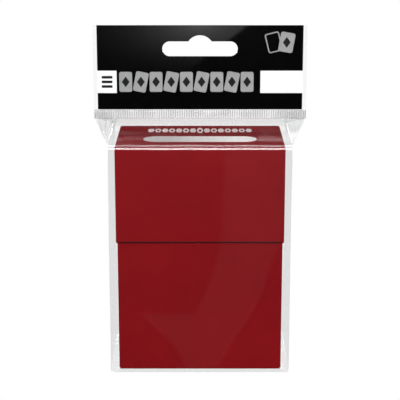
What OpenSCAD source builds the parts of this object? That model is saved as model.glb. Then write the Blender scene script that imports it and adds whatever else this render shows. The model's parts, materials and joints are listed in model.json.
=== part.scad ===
// Deck box for collectable cards, folded from polypropylene sheet, in a clear hanging bag.
// +Z is up, the front faces -Y, and the origin is the middle of the surface it stands on.

/* [Box] */
// Outer width of the closed box, across the lid
box_w = 71; // [62:0.5:90]
// Outer depth of the closed box, front to back
box_d = 47; // [40:0.5:70]
// Outer height of the closed box, without the bag
box_h = 98; // [85:0.5:130]
// Height of the lid's front panel
lid_h = 41; // [25:0.5:60]
// Thickness of the polypropylene sheet
sheet_t = 0.5; // [0.4:0.05:0.8]
// Inside radius of a folded crease
bend_r = 0.3; // [0.2:0.05:0.6]
// Gap between the lid and the base inside it
lid_gap = 0.1; // [0.05:0.01:0.3]
// Radius of the finger notch in the base's front panel
notch_r = 10; // [6:0.5:14]
// Height of the lips that hang from the lid's top panel
lip_h = 3.5; // [2:0.25:6]
// Height of a lid wing at its rear end
wing_rear_h = 12; // [6:0.5:20]
// Radius of the lower corners of the lid
lid_corner_r = 0.9; // [0.5:0.1:2.5]

/* [Bottom lock and seam] */
// Gap between a side flap's free end and the locking tongue
tongue_clear = 6; // [2:0.5:10]
// Width of the locking tongue
tongue_w = 24; // [12:0.5:25]
// Reach of the tongue over the back flap
tongue_l = 10; // [5:0.5:12]
// How far behind the middle the front and back flaps meet
flap_meet_y = 4; // [0:0.5:5]
// Width of the seam flap welded inside the back panel
seam_w = 10; // [6:0.5:15]
// Radius of a weld spot
weld_r = 1.5; // [0.8:0.1:2]
// Height that a weld spot stands proud
weld_proud = 0.1; // [0.05:0.01:0.15]
// Number of weld spots up the seam
seam_weld_count = 6; // [3:1:10]

/* [Divider] */
// Play between the divider and each side wall
divider_play = 1; // [0.5:0.1:2]
// Height left between the divider's tab and the lid
divider_headroom = 1; // [0.5:0.1:3]
// Height of the divider's tab
tab_h = 2.5; // [1:0.25:5]
// Width of the divider's tab
tab_w = 20; // [10:1:40]
// Radius of the divider's upper corners
divider_corner_r = 3; // [1:0.5:6]
// Where the divider stands, behind the middle
divider_y = 10; // [-10:0.5:12]

/* [Lid marks] */
// Length of the write-on name strip
strip_l = 48.5; // [30:0.5:55]
// Width of the name strip
strip_w = 11; // [6:0.5:12]
// Distance from the lid's front edge to the middle of the name strip
strip_from_front = 18.5; // [14:0.5:19]
// Distance from the lid's back edge to the middle of the foil ornament
ornament_from_back = 10.5; // [8:0.5:11]
// Length of the foil ornament
ornament_l = 46; // [30:0.5:52]
// Half height of the foil ornament's middle lozenge
ornament_h = 4; // [2:0.5:4.5]
// Thickness of the foil and the strip
mark_t = 0.06; // [0.04:0.01:0.15]

/* [Bag] */
// Thickness the film is drawn at
film_t = 0.15; // [0.1:0.01:0.2]
// Gap between the film and the box inside it
film_gap = 0.3; // [0.2:0.05:0.5]
// How far the bag's side gussets bulge past the front film's edge
side_bulge = 4.6; // [2:0.1:8]
// Height of the box above the bag's bottom
foot_drop = 1.4; // [0.8:0.1:3]
// Height of the bag's neck, from the lid to the heat seal
neck_h = 8; // [6:0.25:12]
// Height of the heat seal
seal_h = 3.8; // [2:0.1:6]
// Pitch of the ribs crimped into the heat seal
rib_pitch = 1.0; // [0.8:0.05:2]
// Depth of the crimped ribs
rib_depth = 0.3; // [0.15:0.05:0.5]
// Width of the slit in the film around the lid's edge
slit = 0.2; // [0.1:0.05:0.5]

/* [Header] */
// Clear film left beyond each end of the printed card
film_margin = 1.7; // [1:0.1:4]
// Width of the printed card
card_w = 87.4; // [70:0.2:92]
// Height of the printed card
card_h = 36; // [33:0.5:50]
// Thickness of the printed card
card_t = 0.4; // [0.25:0.05:0.6]
// Length of the hang slot
slot_l = 32; // [26:0.5:34]
// Height of the hang slot
slot_h = 6.35; // [5:0.05:7]
// Distance from the card's top edge to the slot's upper edge
slot_from_top = 6.8; // [5:0.1:9]
// Radius of the round hump on the slot
hump_r = 6; // [4:0.1:8]
// Height of the hump over the slot
hump_h = 2.6; // [1:0.1:3.5]
// Height of the white label band
band_h = 9.6; // [6:0.2:12]
// Distance from the card's top edge to the band
band_from_top = 19.3; // [17:0.1:21]
// Width of the label at the band's left end
left_label_w = 8.2; // [5:0.1:14]
// Width of the label at the band's right end
right_label_w = 18; // [10:0.5:26]
// Thickness of a label
label_t = 0.06; // [0.04:0.01:0.1]

/* [Hidden] */
$fn = 48;

eps = 0.02;                                   // how far a cutter runs past a face
touch = 0.05;                                 // play between pieces that fold past each other
half_w = box_w / 2;
half_d = box_d / 2;
crease_r = bend_r + sheet_t;                  // outside radius of a folded crease
base_half_w = half_w - sheet_t - lid_gap;     // the base's side walls, inside the lid's wings
base_front_y = -half_d + sheet_t + lid_gap;   // the base's front face, inside the lid's front panel
base_z = foot_drop;
top_z = base_z + box_h;                       // the lid's upper face
lid_z = top_z - lid_h;                        // the lid's lower edge
hinge_r = sheet_t / 2;
hinge_y = half_d - hinge_r;
hinge_z = top_z - hinge_r;
hinge_clear = 0.05;                           // between the hinge's bead and the panels it joins
rim_z = top_z - crease_r - lid_gap;           // the top edge of the base's front panel
side_rim_z = rim_z - lip_h;                   // the lower top edge of the base's side panels
side_base_z = base_z + sheet_t + crease_r;    // the side panels end where their bottom flaps bend
side_flap_w = base_half_w - tongue_w / 2 - tongue_clear;
floor_z = base_z + 2 * sheet_t + touch;       // the upper face of the locked bottom flaps
joggle = 1;                                   // length of the step up into the locking tongue
flap_side_play = 0.5;                         // from the big bottom flaps to the side walls
corner_relief = crease_r / 2;                 // from a bottom crease's ends to the side walls
wing_corner_cut = 0.4;                        // off the upper rear corner of the lid's wings
flap_taper = 3;                               // how much a side flap narrows at its free end

// The box's palette.
red = "#82151b";
foil_white = "#f2f0ee";
clear_film = [0.9, 0.92, 0.94, 0.3];
print_black = "#101010";

// A quarter of a folded crease, in the quadrant x > 0, y > 0, centred on its inside.
module crease_2d() {
    intersection() {
        difference() {
            circle(r = crease_r);
            circle(r = crease_r - sheet_t);
        }
        square(crease_r + eps);
    }
}

// Plan of a wall with a crease at each end: its outer face lies on y = 0, facing -Y.
module creased_wall_2d(half_width) {
    flat = half_width - crease_r;
    translate([-flat, 0]) square([2 * flat, sheet_t]);
    for (side = [0, 1]) mirror([side, 0]) translate([flat, crease_r]) mirror([0, 1]) crease_2d();
}

// Stands a profile drawn in Y and Z along X, centred.
module along_x(length) {
    rotate([90, 0, 90]) translate([0, 0, -length / 2]) linear_extrude(length) children();
}

// A plate in Y and Z, sheet_t thick, whose outer face is at x.
module side_plate(x) {
    translate([x - sheet_t, 0, 0]) rotate([90, 0, 90]) linear_extrude(sheet_t) children();
}

// Puts a piece drawn on the right on the given side.
module on_side(side) {
    mirror([side < 0 ? 1 : 0, 0, 0]) children();
}

// What a rounded lower corner takes off a panel, with the corner at the origin.
module corner_waste_2d() {
    difference() {
        translate([-eps, -eps]) square(lid_corner_r + eps);
        translate([lid_corner_r, lid_corner_r]) circle(r = lid_corner_r);
    }
}

// ---------- base ----------

module base_front_panel() {
    height = rim_z - base_z - crease_r;
    color(red) difference() {
        translate([0, base_front_y, base_z + crease_r]) linear_extrude(height)
            creased_wall_2d(base_half_w);
        translate([0, base_front_y - 1, rim_z]) rotate([-90, 0, 0]) cylinder(r = notch_r, h = 3);
    }
}

module base_back_panel() {
    height = hinge_z - hinge_r - hinge_clear - base_z - crease_r;
    color(red) translate([0, half_d, base_z + crease_r]) mirror([0, 1, 0]) linear_extrude(height)
        creased_wall_2d(base_half_w);
}

module base_side_panel(side) {
    color(red) on_side(side) side_plate(base_half_w)
        translate([base_front_y + crease_r, side_base_z])
            square([half_d - base_front_y - 2 * crease_r, side_rim_z - side_base_z]);
}

// The strip folded in from the left panel and welded to the inside of the back panel.
module seam_flap() {
    bottom = floor_z + 2;
    color(red) translate([-base_half_w + crease_r, half_d - 2 * sheet_t, bottom])
        cube([seam_w, sheet_t, side_rim_z - 2 - bottom]);
}

module seam_welds() {
    first = floor_z + 10;
    step = (side_rim_z - 12 - first) / (seam_weld_count - 1);
    color(red) for (i = [0 : seam_weld_count - 1])
        translate([-base_half_w + crease_r + seam_w / 2, half_d, first + i * step])
            rotate([-90, 0, 0]) cylinder(r = weld_r, h = weld_proud);
}

// Front flap of the snap-lock bottom: flat wings, and a tongue that steps up over the back flap.
module bottom_front_flap() {
    start = base_front_y + crease_r;
    rise = sheet_t + touch;
    meet = flap_meet_y;
    color(red) translate([0, 0, base_z]) {
        along_x(2 * (base_half_w - corner_relief)) translate([start, crease_r]) rotate(180) crease_2d();
        along_x(2 * (base_half_w - crease_r - flap_side_play))
            translate([start, 0]) square([meet - joggle - start, sheet_t]);
        along_x(tongue_w) polygon([
            [start, 0], [meet - joggle, 0], [meet, rise], [meet + tongue_l, rise],
            [meet + tongue_l, rise + sheet_t], [meet - sheet_t / 2, rise + sheet_t],
            [meet - joggle - sheet_t / 2, sheet_t], [start, sheet_t]]);
    }
}

module bottom_back_flap() {
    start = flap_meet_y + sheet_t;
    end = half_d - crease_r;
    color(red) translate([0, 0, base_z]) {
        along_x(2 * (base_half_w - corner_relief)) translate([end, crease_r]) mirror([0, 1]) crease_2d();
        along_x(2 * (base_half_w - crease_r - flap_side_play))
            translate([start, 0]) square([end - start, sheet_t]);
    }
}

// Side flap of the bottom, lying on the front and back flaps, with a tapered free end.
module bottom_side_flap(side) {
    front = base_front_y + crease_r + touch;
    back = half_d - crease_r - touch;
    outer = base_half_w - crease_r;
    color(red) on_side(side) {
        translate([0, 0, base_z + sheet_t]) {
            linear_extrude(sheet_t) polygon([
                [outer, front], [outer, back],
                [base_half_w - side_flap_w, back - flap_taper],
                [base_half_w - side_flap_w, front + flap_taper]]);
            translate([outer, back, crease_r]) rotate([90, 0, 0]) linear_extrude(back - front)
                mirror([0, 1]) crease_2d();
        }
    }
}

// The rounded web that the lid turns on, along the top of the back panel.
module living_hinge() {
    color(red) translate([-base_half_w, hinge_y, hinge_z]) rotate([0, 90, 0])
        cylinder(r = hinge_r, h = 2 * base_half_w);
}

// ---------- lid ----------

module lid_top_panel() {
    start = -half_d + crease_r;
    color(red) translate([0, 0, top_z - sheet_t]) along_x(2 * base_half_w) {
        translate([start, sheet_t - crease_r]) mirror([1, 0]) crease_2d();
        translate([start, 0]) square([hinge_y - hinge_r - hinge_clear - start, sheet_t]);
    }
}

module lid_front_panel() {
    color(red) difference() {
        translate([0, -half_d, lid_z]) linear_extrude(lid_h - crease_r) creased_wall_2d(half_w);
        for (side = [-1, 1]) on_side(side) translate([half_w, -half_d + crease_r + eps, lid_z])
            rotate([90, 0, 0]) linear_extrude(crease_r + 2 * eps) mirror([1, 0]) corner_waste_2d();
    }
}

// The wing folded back from the front panel, outside the base's side wall.
module lid_wing(side) {
    front = -half_d + crease_r;
    back = half_d - sheet_t;
    level = front + 8;                        // where the lower edge starts to climb
    color(red) on_side(side) side_plate(half_w) difference() {
        polygon([[front, lid_z], [level, lid_z], [back, top_z - wing_rear_h],
            [back, top_z - sheet_t - lid_gap], [back - wing_corner_cut, top_z], [front, top_z]]);
        translate([front, lid_z]) corner_waste_2d();
    }
}

// The lip folded down from the top panel, above the base's side wall and welded to the wing.
module lid_lip(side) {
    front = base_front_y + crease_r + 0.4;
    back = half_d - crease_r - 1.2;
    color(red) on_side(side) side_plate(base_half_w)
        translate([front, side_rim_z + lid_gap])
            square([back - front, top_z - sheet_t - side_rim_z - lid_gap]);
}

// Spots of melted sheet that join each lip to its wing across the gap between them.
module lid_welds() {
    span = box_d / 2;
    color(red) for (side = [-1, 1], y = [-span / 2, 0, span / 2])
        on_side(side) translate([base_half_w, y, top_z - sheet_t - lip_h / 2])
            rotate([0, 90, 0]) cylinder(r = lip_h / 3, h = lid_gap);
}

// White write-on strip with round ends on the lid's top.
module name_strip() {
    color(foil_white) translate([0, -half_d + strip_from_front, top_z]) linear_extrude(mark_t) {
        square([strip_l - strip_w, strip_w], center = true);
        for (end = [-1, 1]) translate([end * (strip_l - strip_w) / 2, 0]) circle(d = strip_w);
    }
}

// Foil-stamped ornament behind the strip: a lozenge between two tapering bars and two dots.
module foil_ornament() {
    lozenge = ornament_h * 1.5;
    gap = 2;
    dot_r = ornament_h * 0.28;
    bar_end = ornament_l / 2 - 2 * dot_r - gap / 2;
    color(foil_white) translate([0, half_d - ornament_from_back, top_z]) linear_extrude(mark_t) {
        difference() {
            polygon([[-lozenge, 0], [0, -ornament_h], [lozenge, 0], [0, ornament_h]]);
            polygon([[-lozenge / 2, 0], [0, -ornament_h / 2], [lozenge / 2, 0], [0, ornament_h / 2]]);
        }
        for (end = [0, 1]) mirror([end, 0]) {
            polygon([[lozenge + gap, 0], [lozenge + 2 * gap, -ornament_h * 0.35],
                [bar_end, 0], [lozenge + 2 * gap, ornament_h * 0.35]]);
            translate([ornament_l / 2 - dot_r, 0]) circle(r = dot_r);
        }
    }
}

// ---------- divider ----------

module deck_divider() {
    half = base_half_w - sheet_t - divider_play;
    low = floor_z + touch;
    shoulder = top_z - sheet_t - divider_headroom - tab_h;
    color(red) translate([0, divider_y + sheet_t, 0]) rotate([90, 0, 0]) linear_extrude(sheet_t) {
        translate([-half, low]) square([2 * half, shoulder - divider_corner_r - low]);
        translate([-half + divider_corner_r, shoulder - divider_corner_r - eps])
            square([2 * (half - divider_corner_r), divider_corner_r + eps]);
        for (end = [-1, 1]) translate([end * (half - divider_corner_r), shoulder - divider_corner_r])
            circle(r = divider_corner_r);
        polygon([[-tab_w / 2 - tab_h, shoulder - eps], [tab_w / 2 + tab_h, shoulder - eps],
            [tab_w / 2, shoulder + tab_h], [-tab_w / 2, shoulder + tab_h]]);
    }
}

// ---------- bag ----------

film_x = half_w + film_gap;                   // inner corner of the film, in x
film_y = half_d + film_gap;                   // inner face of the front and back film
gusset_r = (film_y * film_y + side_bulge * side_bulge) / (2 * side_bulge);
slit_z = lid_z - lid_gap;                     // where the film parts when the lid opens
neck_z = top_z + film_gap;                    // where the film leaves the lid and slopes to the seal
seal_z = top_z + neck_h;
header_w = card_w + 2 * film_margin;
fold_gap = 0.9;                               // room for the seal to fold over on top of the neck
film_end = 2.5;                               // film left clear of the hinge line
neck_half = 0.3;                              // half the gap between the films where they meet
neck_clear = 0.5;                             // from the side films to the sloping ones over them
back_lift = 0.5;                              // height of the back film's start, for the hinge

// How far out the inner face of the bag's bulging side is at y.
function gusset_x(y) = film_x + side_bulge - gusset_r + sqrt(gusset_r * gusset_r - y * y);

// The disc whose edge is the bulging side of the bag.
module gusset_disc_2d(grow) {
    translate([film_x + side_bulge - gusset_r, 0]) circle(r = gusset_r + grow, $fn = 96);
}

// One gusset's curved strip in plan.
module gusset_2d() {
    intersection() {
        difference() {
            gusset_disc_2d(film_t);
            gusset_disc_2d(0);
        }
        translate([film_x - 1, -film_y]) square([side_bulge + 3, 2 * film_y]);
    }
}

module gusset(side, low, high) {
    color(clear_film) on_side(side) translate([0, 0, low]) linear_extrude(high - low) gusset_2d();
}

module flat_film(y, low, high) {
    color(clear_film) translate([-film_x - film_t, y, low]) cube([2 * (film_x + film_t), film_t, high - low]);
}

module bag_front_film() {
    flat_film(-film_y - film_t, film_t, slit_z - slit);
}

module bag_back_film() {
    flat_film(film_y, film_t, top_z - film_end);
}

module bag_bottom_film() {
    color(clear_film) linear_extrude(film_t) {
        square([2 * (film_x + film_t), 2 * (film_y + film_t)], center = true);
        for (side = [0, 1]) mirror([side, 0]) intersection() {
            gusset_disc_2d(film_t);
            translate([0, -film_y]) square([film_x + side_bulge + 1, 2 * film_y]);
        }
    }
}

module bag_lid_front_film() {
    flat_film(-film_y - film_t, slit_z, neck_z);
}

// A flat sloping film from one edge of the lid up to the seal; direction is -1 for the front.
module shoulder(direction) {
    run = film_y - neck_half - (direction < 0 ? 0 : film_end);
    low = neck_z + (direction < 0 ? 0 : back_lift);
    rise = seal_z - fold_gap - low;
    length = sqrt(run * run + rise * rise);
    low_half = film_x + (direction < 0 ? film_t : -1);
    color(clear_film) translate([0, direction * (run + neck_half), low])
        rotate([0, 0, direction < 0 ? 0 : 180]) rotate([atan2(rise, run), 0, 0])
            linear_extrude(film_t) polygon([[-low_half, 0], [low_half, 0],
                [header_w / 2, length], [-header_w / 2, length]]);
}

// The bag's side above the lid: two facets that meet in a fold running up to the seal's end.
module side_shoulder(side) {
    front = -film_y + 3 * neck_clear;
    back = film_y - film_end - 3 * neck_clear;
    inner = [
        [gusset_x(front), front, neck_z],
        [gusset_x(back), back, neck_z],
        [film_x + side_bulge, 0, neck_z + 3 * neck_clear],
        [header_w / 2 - 1, 0, seal_z - fold_gap - neck_clear]];
    outer = [for (p = inner) p + [2 * film_t, 0, 0]];
    color(clear_film) on_side(side) polyhedron(
        points = concat(inner, outer),
        faces = [[0, 2, 3], [2, 1, 3], [4, 7, 6], [6, 7, 5],
            [0, 4, 6], [0, 6, 2], [2, 6, 5], [2, 5, 1],
            [1, 5, 7], [1, 7, 3], [3, 7, 4], [3, 4, 0]]);
}

// ---------- header ----------

header_z = seal_z + seal_h;
card_z = header_z + 0.2;
card_top_z = card_z + card_h;
seal_t = 4 * film_t;

// The corrugated band where the film layers are welded together.
module heat_seal_strip() {
    ribs = floor(header_w / rib_pitch);
    pitch = header_w / ribs;
    function edge(offset_y) = [for (i = [0 : 2 * ribs])
        [-header_w / 2 + i * pitch / 2, offset_y + (i % 2 == 0 ? 1 : -1) * rib_depth / 2]];
    front = edge(-seal_t / 2);
    back = edge(seal_t / 2);
    color(clear_film) translate([0, 0, seal_z]) linear_extrude(seal_h)
        polygon(concat(front, [for (i = [len(back) - 1 : -1 : 0]) back[i]]));
}

// The hang slot's outline, measured down from the card's top edge.
module hang_slot_2d() {
    middle = -slot_from_top - slot_h / 2;
    translate([0, middle]) {
        square([slot_l - slot_h, slot_h], center = true);
        for (end = [-1, 1]) translate([end * (slot_l - slot_h) / 2, 0]) circle(d = slot_h);
    }
    translate([0, -slot_from_top + hump_h - hump_r]) circle(r = hump_r);
}

// A flat sheet of the header with the hang slot cut through; y is its front face.
module header_sheet(width, low, y, thickness) {
    translate([0, y + thickness, 0]) rotate([90, 0, 0]) linear_extrude(thickness) difference() {
        translate([-width / 2, low]) square([width, card_top_z - low]);
        translate([0, card_top_z]) intersection() {
            hang_slot_2d();
            translate([-slot_l, -slot_from_top - slot_h]) square([2 * slot_l, slot_h + hump_h]);
        }
    }
}

card_y = -card_t / 2;
header_film_y = card_t / 2 + label_t;         // inner face of the header's films

module header_card() {
    color(print_black) header_sheet(card_w, card_z, card_y, card_t);
}

module header_film(direction) {
    y = direction < 0 ? -header_film_y - film_t : header_film_y;
    color(clear_film) header_sheet(header_w, header_z, y, film_t);
}

module label(x, width) {
    color("white") translate([x, card_y - label_t, card_top_z - band_from_top - band_h])
        cube([width, label_t, band_h]);
}

base_front_panel();
base_back_panel();
base_side_panel(-1);  // base_left_panel
base_side_panel(1);  // base_right_panel
seam_flap();
seam_welds();
bottom_front_flap();
bottom_back_flap();
bottom_side_flap(-1);  // bottom_left_flap
bottom_side_flap(1);  // bottom_right_flap
living_hinge();
lid_top_panel();
lid_front_panel();
lid_wing(-1);  // lid_left_wing
lid_wing(1);  // lid_right_wing
lid_lip(-1);  // lid_left_lip
lid_lip(1);  // lid_right_lip
lid_welds();
name_strip();
foil_ornament();
deck_divider();
bag_front_film();
bag_back_film();
gusset(-1, film_t, slit_z - slit);  // bag_left_gusset
gusset(1, film_t, slit_z - slit);  // bag_right_gusset
bag_bottom_film();
bag_lid_front_film();
gusset(-1, slit_z, neck_z);  // bag_lid_left_gusset
gusset(1, slit_z, neck_z);  // bag_lid_right_gusset
shoulder(-1);  // bag_front_shoulder
shoulder(1);  // bag_back_shoulder
side_shoulder(-1);  // bag_left_shoulder
side_shoulder(1);  // bag_right_shoulder
heat_seal_strip();
header_card();
header_film(-1);  // header_front_film
header_film(1);  // header_back_film
label(-card_w / 2, left_label_w);  // contents_label
label(card_w / 2 - right_label_w, right_label_w);  // colour_label
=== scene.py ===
# %% [markdown]
# # A card deck box in its hanging bag
# The real object is a box for trading cards, folded from one sheet of dark-red polypropylene. It is
# sold in a thin clear bag with pleated sides, and a black header card with a hang slot is sealed in
# the top of the bag.
#
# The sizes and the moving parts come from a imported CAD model. This lesson gives that model its looks:
# the satin plastic, the wrinkled film, the crimped heat seal, the prints and the studio.

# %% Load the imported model
import json
import math

import bmesh
import bpy
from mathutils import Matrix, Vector, noise


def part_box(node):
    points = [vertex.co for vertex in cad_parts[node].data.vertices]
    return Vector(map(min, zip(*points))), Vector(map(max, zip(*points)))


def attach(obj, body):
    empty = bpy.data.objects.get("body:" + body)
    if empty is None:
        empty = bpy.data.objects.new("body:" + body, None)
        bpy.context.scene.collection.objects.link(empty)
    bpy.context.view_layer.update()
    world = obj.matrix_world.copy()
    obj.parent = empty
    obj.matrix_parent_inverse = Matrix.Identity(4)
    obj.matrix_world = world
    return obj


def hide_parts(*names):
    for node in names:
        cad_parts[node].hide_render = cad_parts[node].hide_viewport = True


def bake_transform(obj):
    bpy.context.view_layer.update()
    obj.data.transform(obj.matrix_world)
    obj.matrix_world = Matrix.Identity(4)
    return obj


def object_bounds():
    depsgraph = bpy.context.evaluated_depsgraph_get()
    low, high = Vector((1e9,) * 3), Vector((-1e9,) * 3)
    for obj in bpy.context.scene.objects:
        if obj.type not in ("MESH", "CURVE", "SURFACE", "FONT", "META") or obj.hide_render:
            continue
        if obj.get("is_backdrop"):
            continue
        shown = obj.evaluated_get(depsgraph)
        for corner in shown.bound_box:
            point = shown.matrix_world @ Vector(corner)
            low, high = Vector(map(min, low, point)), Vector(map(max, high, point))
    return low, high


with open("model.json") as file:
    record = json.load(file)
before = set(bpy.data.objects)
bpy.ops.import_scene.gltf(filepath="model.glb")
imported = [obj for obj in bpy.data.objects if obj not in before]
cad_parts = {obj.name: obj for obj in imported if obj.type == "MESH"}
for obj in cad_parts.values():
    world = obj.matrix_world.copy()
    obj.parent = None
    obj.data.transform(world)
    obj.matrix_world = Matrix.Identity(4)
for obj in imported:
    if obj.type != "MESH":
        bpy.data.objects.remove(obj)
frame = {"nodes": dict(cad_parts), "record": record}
cad_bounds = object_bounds()
nodes = frame["nodes"]

# %% [markdown]
# ## Measures
# Places are read from the CAD model wherever it has them, so that a new piece lands where the plastic
# really is. The model is in metres, and small sizes are easier to read in millimetres.

# %% Read the measures
MM = 0.001
FILM_EASE = 2.1 * MM                         # the bag is this much wider than the CAD film at each side

lid_low, lid_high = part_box("lid_front_panel")
lid_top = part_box("lid_top_panel")[1].z
film_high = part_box("bag_front_film")[1]
film_front = film_high.y                     # the film's inner face, just off the box
film_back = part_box("bag_back_film")[0].y
film_half = film_high.x + FILM_EASE
back_film_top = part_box("bag_back_film")[1].z
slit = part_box("bag_lid_front_film")[0].z     # where the film parts when the lid opens
slit_gap = slit - film_high.z
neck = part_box("bag_lid_front_film")[1].z     # where the film leaves the lid
neck_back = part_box("bag_back_shoulder")[1].y
seal_low, seal_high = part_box("heat_seal_strip")
card_low, card_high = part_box("header_card")
header_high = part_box("header_front_film")[1]
print("lid line at", round(lid_low.z / MM, 1), "mm; seal at", round(seal_low.z / MM, 1), "mm")


# %% [markdown]
# ## Material helpers
# Colours are easiest to pick as the 0 to 255 numbers that a screen shows, but shaders work in linear
# light, so each colour is converted once. Every finish starts from the Principled shader, and the
# other helpers add and link its nodes, with a node's settings given in the same call.

# %% Material helpers
def ink(red, green, blue):
    """A screen colour of 0 to 255 as the linear colour that a shader takes."""
    def linear(value):
        share = value / 255
        return share / 12.92 if share <= 0.04045 else ((share + 0.055) / 1.055) ** 2.4
    return (linear(red), linear(green), linear(blue), 1.0)


def new_finish(name, colour, roughness, specular=0.5, metallic=0.0):
    """A material with one Principled shader, and that shader."""
    material = bpy.data.materials.new(name)
    material.use_nodes = True
    shader = material.node_tree.nodes["Principled BSDF"]
    shader.inputs["Base Color"].default_value = colour
    shader.inputs["Roughness"].default_value = roughness
    shader.inputs["Specular IOR Level"].default_value = specular
    shader.inputs["Metallic"].default_value = metallic
    return material, shader


def add_node(material, kind, settings=(), values=()):
    """Adds a node, sets its settings, then the values of its input sockets."""
    node = material.node_tree.nodes.new(kind)
    for name, value in dict(settings).items():
        setattr(node, name, value)
    for name, value in dict(values).items():
        node.inputs[name].default_value = value
    return node


def join(material, output, socket):
    """Links a node's output to another node's input socket."""
    material.node_tree.links.new(output, socket)


print("middle grey in linear light:", round(ink(128, 128, 128)[0], 3))


# %% [markdown]
# ## Pattern helpers
# Real surfaces are never even. These helpers make the patterns that the finishes are built from, and
# most of them give back their output, so that a finish reads like a formula. The patterns read the
# place on the object, so they keep their size in millimetres and move with their piece.

# %% Pattern helpers
def axes(material):
    """The x, y and z of the place on the object, in metres."""
    where = add_node(material, "ShaderNodeTexCoord")
    parts = add_node(material, "ShaderNodeSeparateXYZ")
    join(material, where.outputs["Object"], parts.inputs["Vector"])
    return parts.outputs


def place_on_object(material, stretch=(1, 1, 1)):
    """The place on the object, with each axis stretched, for a pattern to read."""
    where = add_node(material, "ShaderNodeTexCoord")
    scale = add_node(material, "ShaderNodeMapping", values={"Scale": stretch})
    join(material, where.outputs["Object"], scale.inputs["Vector"])
    return scale.outputs["Vector"]


def grain(material, size, detail=2.0, stretch=(1, 1, 1)):
    """A noise pattern whose blotches are about size metres across."""
    pattern = add_node(material, "ShaderNodeTexNoise", values={"Scale": 1 / size, "Detail": detail})
    join(material, place_on_object(material, stretch), pattern.inputs["Vector"])
    return pattern.outputs["Fac"]


def spread(material, factor, low, high, start=0.0, end=1.0):
    """Goes evenly from low to high as factor goes from start to end."""
    node = add_node(material, "ShaderNodeMapRange",
                    values={"From Min": start, "From Max": end, "To Min": low, "To Max": high})
    join(material, factor, node.inputs["Value"])
    return node.outputs["Result"]


def shade_between(material, factor, first, second, start=0.3, end=0.7):
    """A colour that goes from first to second as the factor goes from start to end."""
    ramp = add_node(material, "ShaderNodeValToRGB")
    for stop, place, colour in zip(ramp.color_ramp.elements, (start, end), (first, second)):
        stop.position = place
        stop.color = colour
    join(material, factor, ramp.inputs["Fac"])
    return ramp.outputs["Color"]


def calculate(material, operation, first, second=0.0):
    """A math node's result. Each of first and second is a number or another node's output."""
    node = add_node(material, "ShaderNodeMath", {"operation": operation})
    for socket, value in zip(node.inputs, (first, second)):
        if isinstance(value, (int, float)):
            socket.default_value = value
        else:
            join(material, value, socket)
    return node.outputs[0]


def smooth_step(material, value, start, end, low=0.0, high=1.0):
    """Goes smoothly from low to high as value goes from start to end."""
    node = add_node(material, "ShaderNodeMapRange", {"interpolation_type": "SMOOTHSTEP"},
                    {"From Min": start, "From Max": end, "To Min": low, "To Max": high})
    join(material, value, node.inputs["Value"])
    return node.outputs["Result"]


def relief(material, shader, height, depth, strength=1.0):
    """Tilts the shading by a height pattern that is depth metres deep."""
    node = add_node(material, "ShaderNodeBump", values={"Distance": depth, "Strength": strength})
    join(material, height, node.inputs["Height"])
    join(material, node.outputs["Normal"], shader.inputs["Normal"])


# %% [markdown]
# ## The red polypropylene
# Deck boxes are cut from extruded sheet with a fine satin grain. One flat red would look like paint,
# so the colour drifts a little over a few centimetres, the roughness has a finer pattern, and a grain
# of a third of a millimetre tilts the shading. The extruder's drawing direction stretches the grain.
# The CAD panels already have the right shape, so they only get the new finish.

# %% Satin sheet
def coat(node_name, material):
    """Gives a CAD node one material."""
    nodes[node_name].data.materials.clear()
    nodes[node_name].data.materials.append(material)


DRIFT_SIZE = 28 * MM      # the colour drifts over this distance
DEEPER = 0.86             # the deeper colour, as a share of the full one
GLOSS_SIZE = 1.1 * MM
GLOSS = (0.34, 0.5)       # the roughness varies between these
GRAIN_SIZE = 0.34 * MM
GRAIN_DEPTH = 0.012 * MM
DRAWN = (1, 1, 0.35)      # the sheet is drawn upright, and below 1 the grain is longer that way


def satin_sheet(name, colour):
    """Plastic sheet with a fine grain."""
    material, shader = new_finish(name, colour, 0.42, specular=0.07)
    drift = grain(material, DRIFT_SIZE, detail=3)
    deeper = tuple(DEEPER * c for c in colour[:3]) + (1.0,)
    join(material, shade_between(material, drift, deeper, colour), shader.inputs["Base Color"])
    join(material, spread(material, grain(material, GLOSS_SIZE), *GLOSS), shader.inputs["Roughness"])
    relief(material, shader, grain(material, GRAIN_SIZE, stretch=DRAWN), GRAIN_DEPTH, 0.6)
    return material


red_sheet = satin_sheet("red_polypropylene", ink(138, 16, 23))
divider_sheet = satin_sheet("divider_polypropylene", ink(122, 17, 23))

red_nodes = [row["node"] for row in frame["record"]["subparts"]
             if row["material_slot"] == "red_polypropylene"]
for name in red_nodes:
    coat(name, red_sheet)
coat("deck_divider", divider_sheet)
print("red panels:", len(red_nodes))


# %% [markdown]
# ## The lid's cut edge
# A steel rule cuts the sheet. The lid stands a little off the base, and its lower edge casts a thin shadow
# there. That shadow is painted: a dark bead with two round sides follows the edge along both wings and the
# front. It is a curve with a bevel, which is the easy way to sweep a small section along a path, and it is
# turned into a mesh afterwards.

# %% Cut edge
wing_low, wing_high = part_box("lid_right_wing")
sheet = wing_high.x - wing_low.x
BEAD_RADIUS = sheet / 2 + 0.05 * MM
BEAD_HALF_HEIGHT = 0.2 * MM  # half of the flat stretch between the bead's two round sides
WING_LEVEL = 8 * MM          # length of a wing's level lower edge
WING_REAR_RISE = 29 * MM     # how much higher its rear end is
REAR_MARGIN = 0.3 * MM       # the bead stops this far before the wing's rear edge
CORNER_TURN = 1.1 * MM       # the bead starts to turn this far before the lid's lower corner
CORNER_BENDS = ((0.15, 0.5), (0.5, 0.15))    # how far in and back it bends there, in millimetres
CORNER_LIFT = 0.12 * MM      # the lid's corner is rounded, so the bends lie a little higher


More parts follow.
